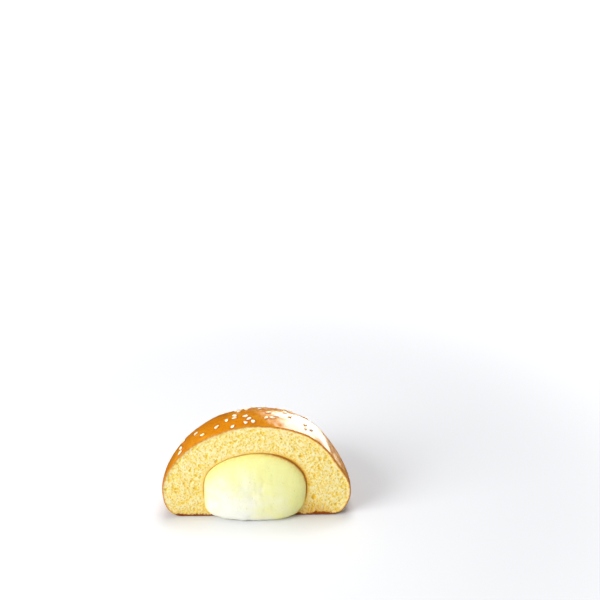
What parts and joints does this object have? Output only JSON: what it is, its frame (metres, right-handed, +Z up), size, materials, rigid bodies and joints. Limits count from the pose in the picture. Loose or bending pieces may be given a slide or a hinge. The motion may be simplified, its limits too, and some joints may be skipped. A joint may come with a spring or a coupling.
{
  "type": "potato bread roll",
  "caption": "Half of a round filled potato bread roll: glazed dome crust with sesame seeds, flat base, and a cut face showing crumb and a bulging cream cheese filling.",
  "frame": {"origin": "on the table, in the middle of the part's footprint", "axes": "+X along the cut face, to the right for someone who looks at it; +Y from the cut face towards the crust behind; +Z up. The cut face looks along -Y"},
  "size_m": [0.1046, 0.0616, 0.0608],
  "materials": {
    "bread": "satin",
    "cream_cheese": "satin",
    "sesame": "matte"
  },
  "bodies": {
    "root": {"bread": "bread", "cream_cheese_filling": "cream_cheese", "sesame_seed_01": "sesame", "sesame_seed_02": "sesame", "sesame_seed_03": "sesame", "sesame_seed_04": "sesame", "sesame_seed_05": "sesame", "sesame_seed_06": "sesame", "sesame_seed_07": "sesame", "sesame_seed_08": "sesame", "sesame_seed_09": "sesame", "sesame_seed_10": "sesame", "sesame_seed_11": "sesame", "sesame_seed_12": "sesame", "sesame_seed_13": "sesame", "sesame_seed_14": "sesame", "sesame_seed_15": "sesame", "sesame_seed_16": "sesame", "sesame_seed_17": "sesame", "sesame_seed_18": "sesame", "sesame_seed_19": "sesame", "sesame_seed_20": "sesame", "sesame_seed_21": "sesame", "sesame_seed_22": "sesame", "sesame_seed_23": "sesame", "sesame_seed_24": "sesame", "sesame_seed_25": "sesame", "sesame_seed_26": "sesame", "sesame_seed_27": "sesame", "sesame_seed_28": "sesame", "sesame_seed_29": "sesame", "sesame_seed_30": "sesame", "sesame_seed_31": "sesame", "sesame_seed_32": "sesame", "sesame_seed_33": "sesame", "sesame_seed_34": "sesame", "sesame_seed_35": "sesame", "sesame_seed_36": "sesame", "sesame_seed_37": "sesame", "sesame_seed_38": "sesame", "sesame_seed_39": "sesame", "sesame_seed_40": "sesame", "sesame_seed_41": "sesame", "sesame_seed_42": "sesame", "sesame_seed_43": "sesame", "sesame_seed_44": "sesame", "sesame_seed_45": "sesame", "sesame_seed_46": "sesame", "sesame_seed_47": "sesame", "sesame_seed_48": "sesame", "sesame_seed_49": "sesame", "sesame_seed_50": "sesame", "sesame_seed_51": "sesame", "sesame_seed_52": "sesame", "sesame_seed_53": "sesame", "sesame_seed_54": "sesame"}
  },
  "joints": []
}
